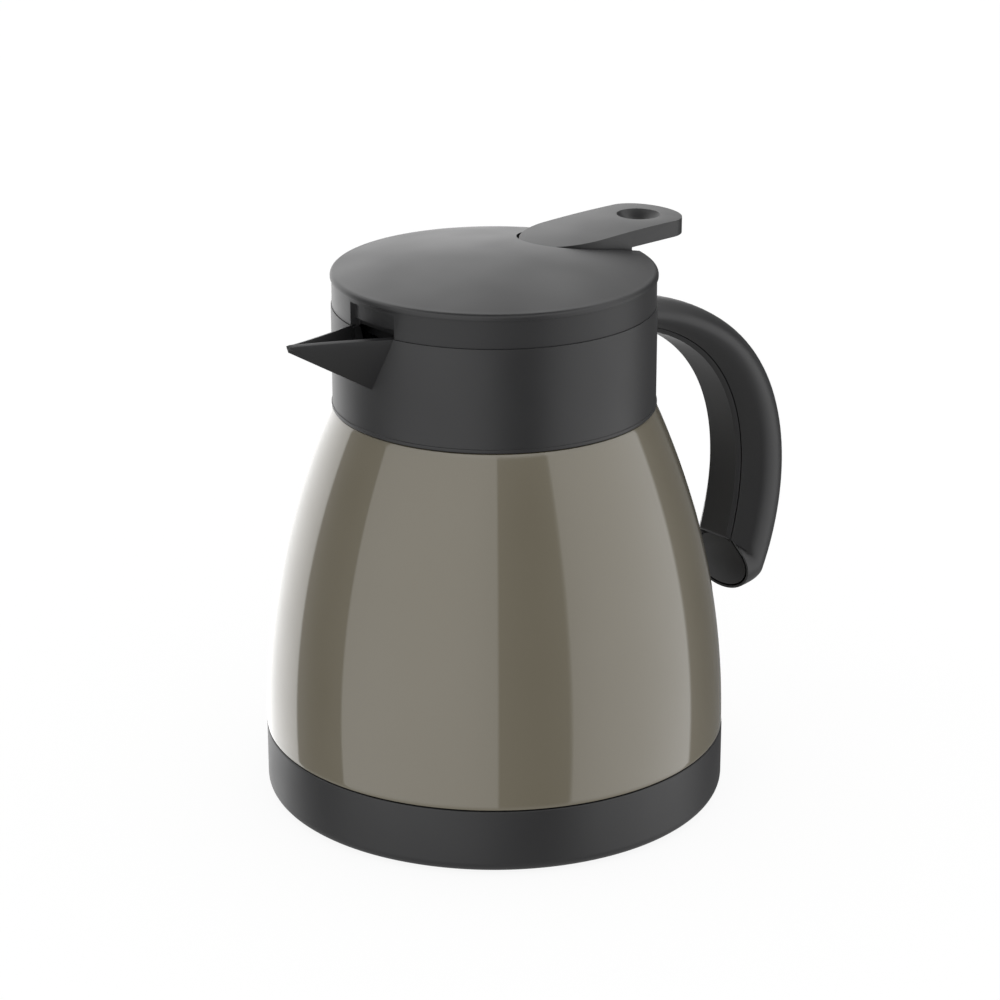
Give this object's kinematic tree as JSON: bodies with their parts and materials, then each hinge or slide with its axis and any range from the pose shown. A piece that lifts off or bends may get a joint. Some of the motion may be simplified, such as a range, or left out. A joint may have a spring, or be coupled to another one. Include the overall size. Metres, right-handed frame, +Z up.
{
  "type": "vacuum jug",
  "caption": "Double-walled steel vacuum jug with a beak spout, a free-ended handle and a screw lid whose thumb lever lifts the pouring valve.",
  "frame": {"origin": "on the jug's axis, at the underside of the foot pad, which is the face that it stands on", "axes": "+Z up along the jug's axis, +X towards the handle, the spout points along -X, +Y completes the right-handed frame"},
  "size_m": [0.1832, 0.13, 0.1573],
  "materials": {
    "taupe_lacquer": "gloss metallic lacquer over stainless steel",
    "black_plastic": "satin moulded polypropylene",
    "bare_steel": "satin stainless steel",
    "hardware_steel": "bright stainless steel",
    "silicone_white": "translucent white silicone",
    "silicone_grey": "matt dark grey silicone",
    "guide_plastic": "natural acetal",
    "getter_alloy": "sintered grey"
  },
  "bodies": {
    "jug": {"foot_pad": "silicone_grey", "base_cup": "black_plastic", "outer_shell": "taupe_lacquer", "shell_bottom": "bare_steel", "vacuum_seal": "hardware_steel", "seal_guard": "black_plastic", "getter": "getter_alloy", "inner_vessel": "bare_steel", "vessel_bottom": "bare_steel", "collar": "black_plastic", "collar_gasket": "silicone_white", "handle_shell": "black_plastic", "handle_strip": "black_plastic", "handle_screws": "hardware_steel"},
    "seal_ring": {"stopper_seal": "silicone_white"},
    "lid": {"stopper_body": "black_plastic", "valve_seat": "black_plastic", "stem_guide": "guide_plastic", "stem_wiper": "silicone_white", "lid_cover": "black_plastic", "lid_screws": "hardware_steel", "lever_pin": "hardware_steel", "valve_spring": "hardware_steel"},
    "lever": {"lever": "black_plastic"},
    "valve": {"valve_stem": "hardware_steel", "valve_plug": "black_plastic", "valve_washer": "silicone_white", "stem_nut": "hardware_steel"}
  },
  "joints": [
    {"name": "lid_rise", "type": "slide", "parent": "jug", "child": "seal_ring", "axis": [0, 0, 1], "range_m": [0, 0.0721]},
    {"name": "lid_turn", "type": "hinge", "parent": "seal_ring", "child": "lid", "pos_m": [0, 0, 0.13], "axis": [0, 0, 1], "range_deg": [0, 1080]},
    {"name": "lever_press", "type": "hinge", "parent": "lid", "child": "lever", "pos_m": [0.03, 0, 0.1495], "axis": [0, 1, 0], "range_deg": [0, 9], "stiffness_Nm_per_rad": 0.4, "springref_deg": -17.19},
    {"name": "valve_lift", "type": "slide", "parent": "lid", "child": "valve", "axis": [0, 0, 1], "range_m": [0, 0.0049], "deforming": ["valve_spring"]}
  ],
  "couplings": [
    {"joint": "lid_rise", "follows": "lid_turn", "m_per_rad": 0.0038197},
    {"joint": "valve_lift", "follows": "lever_press", "m_per_rad": 0.031}
  ]
}
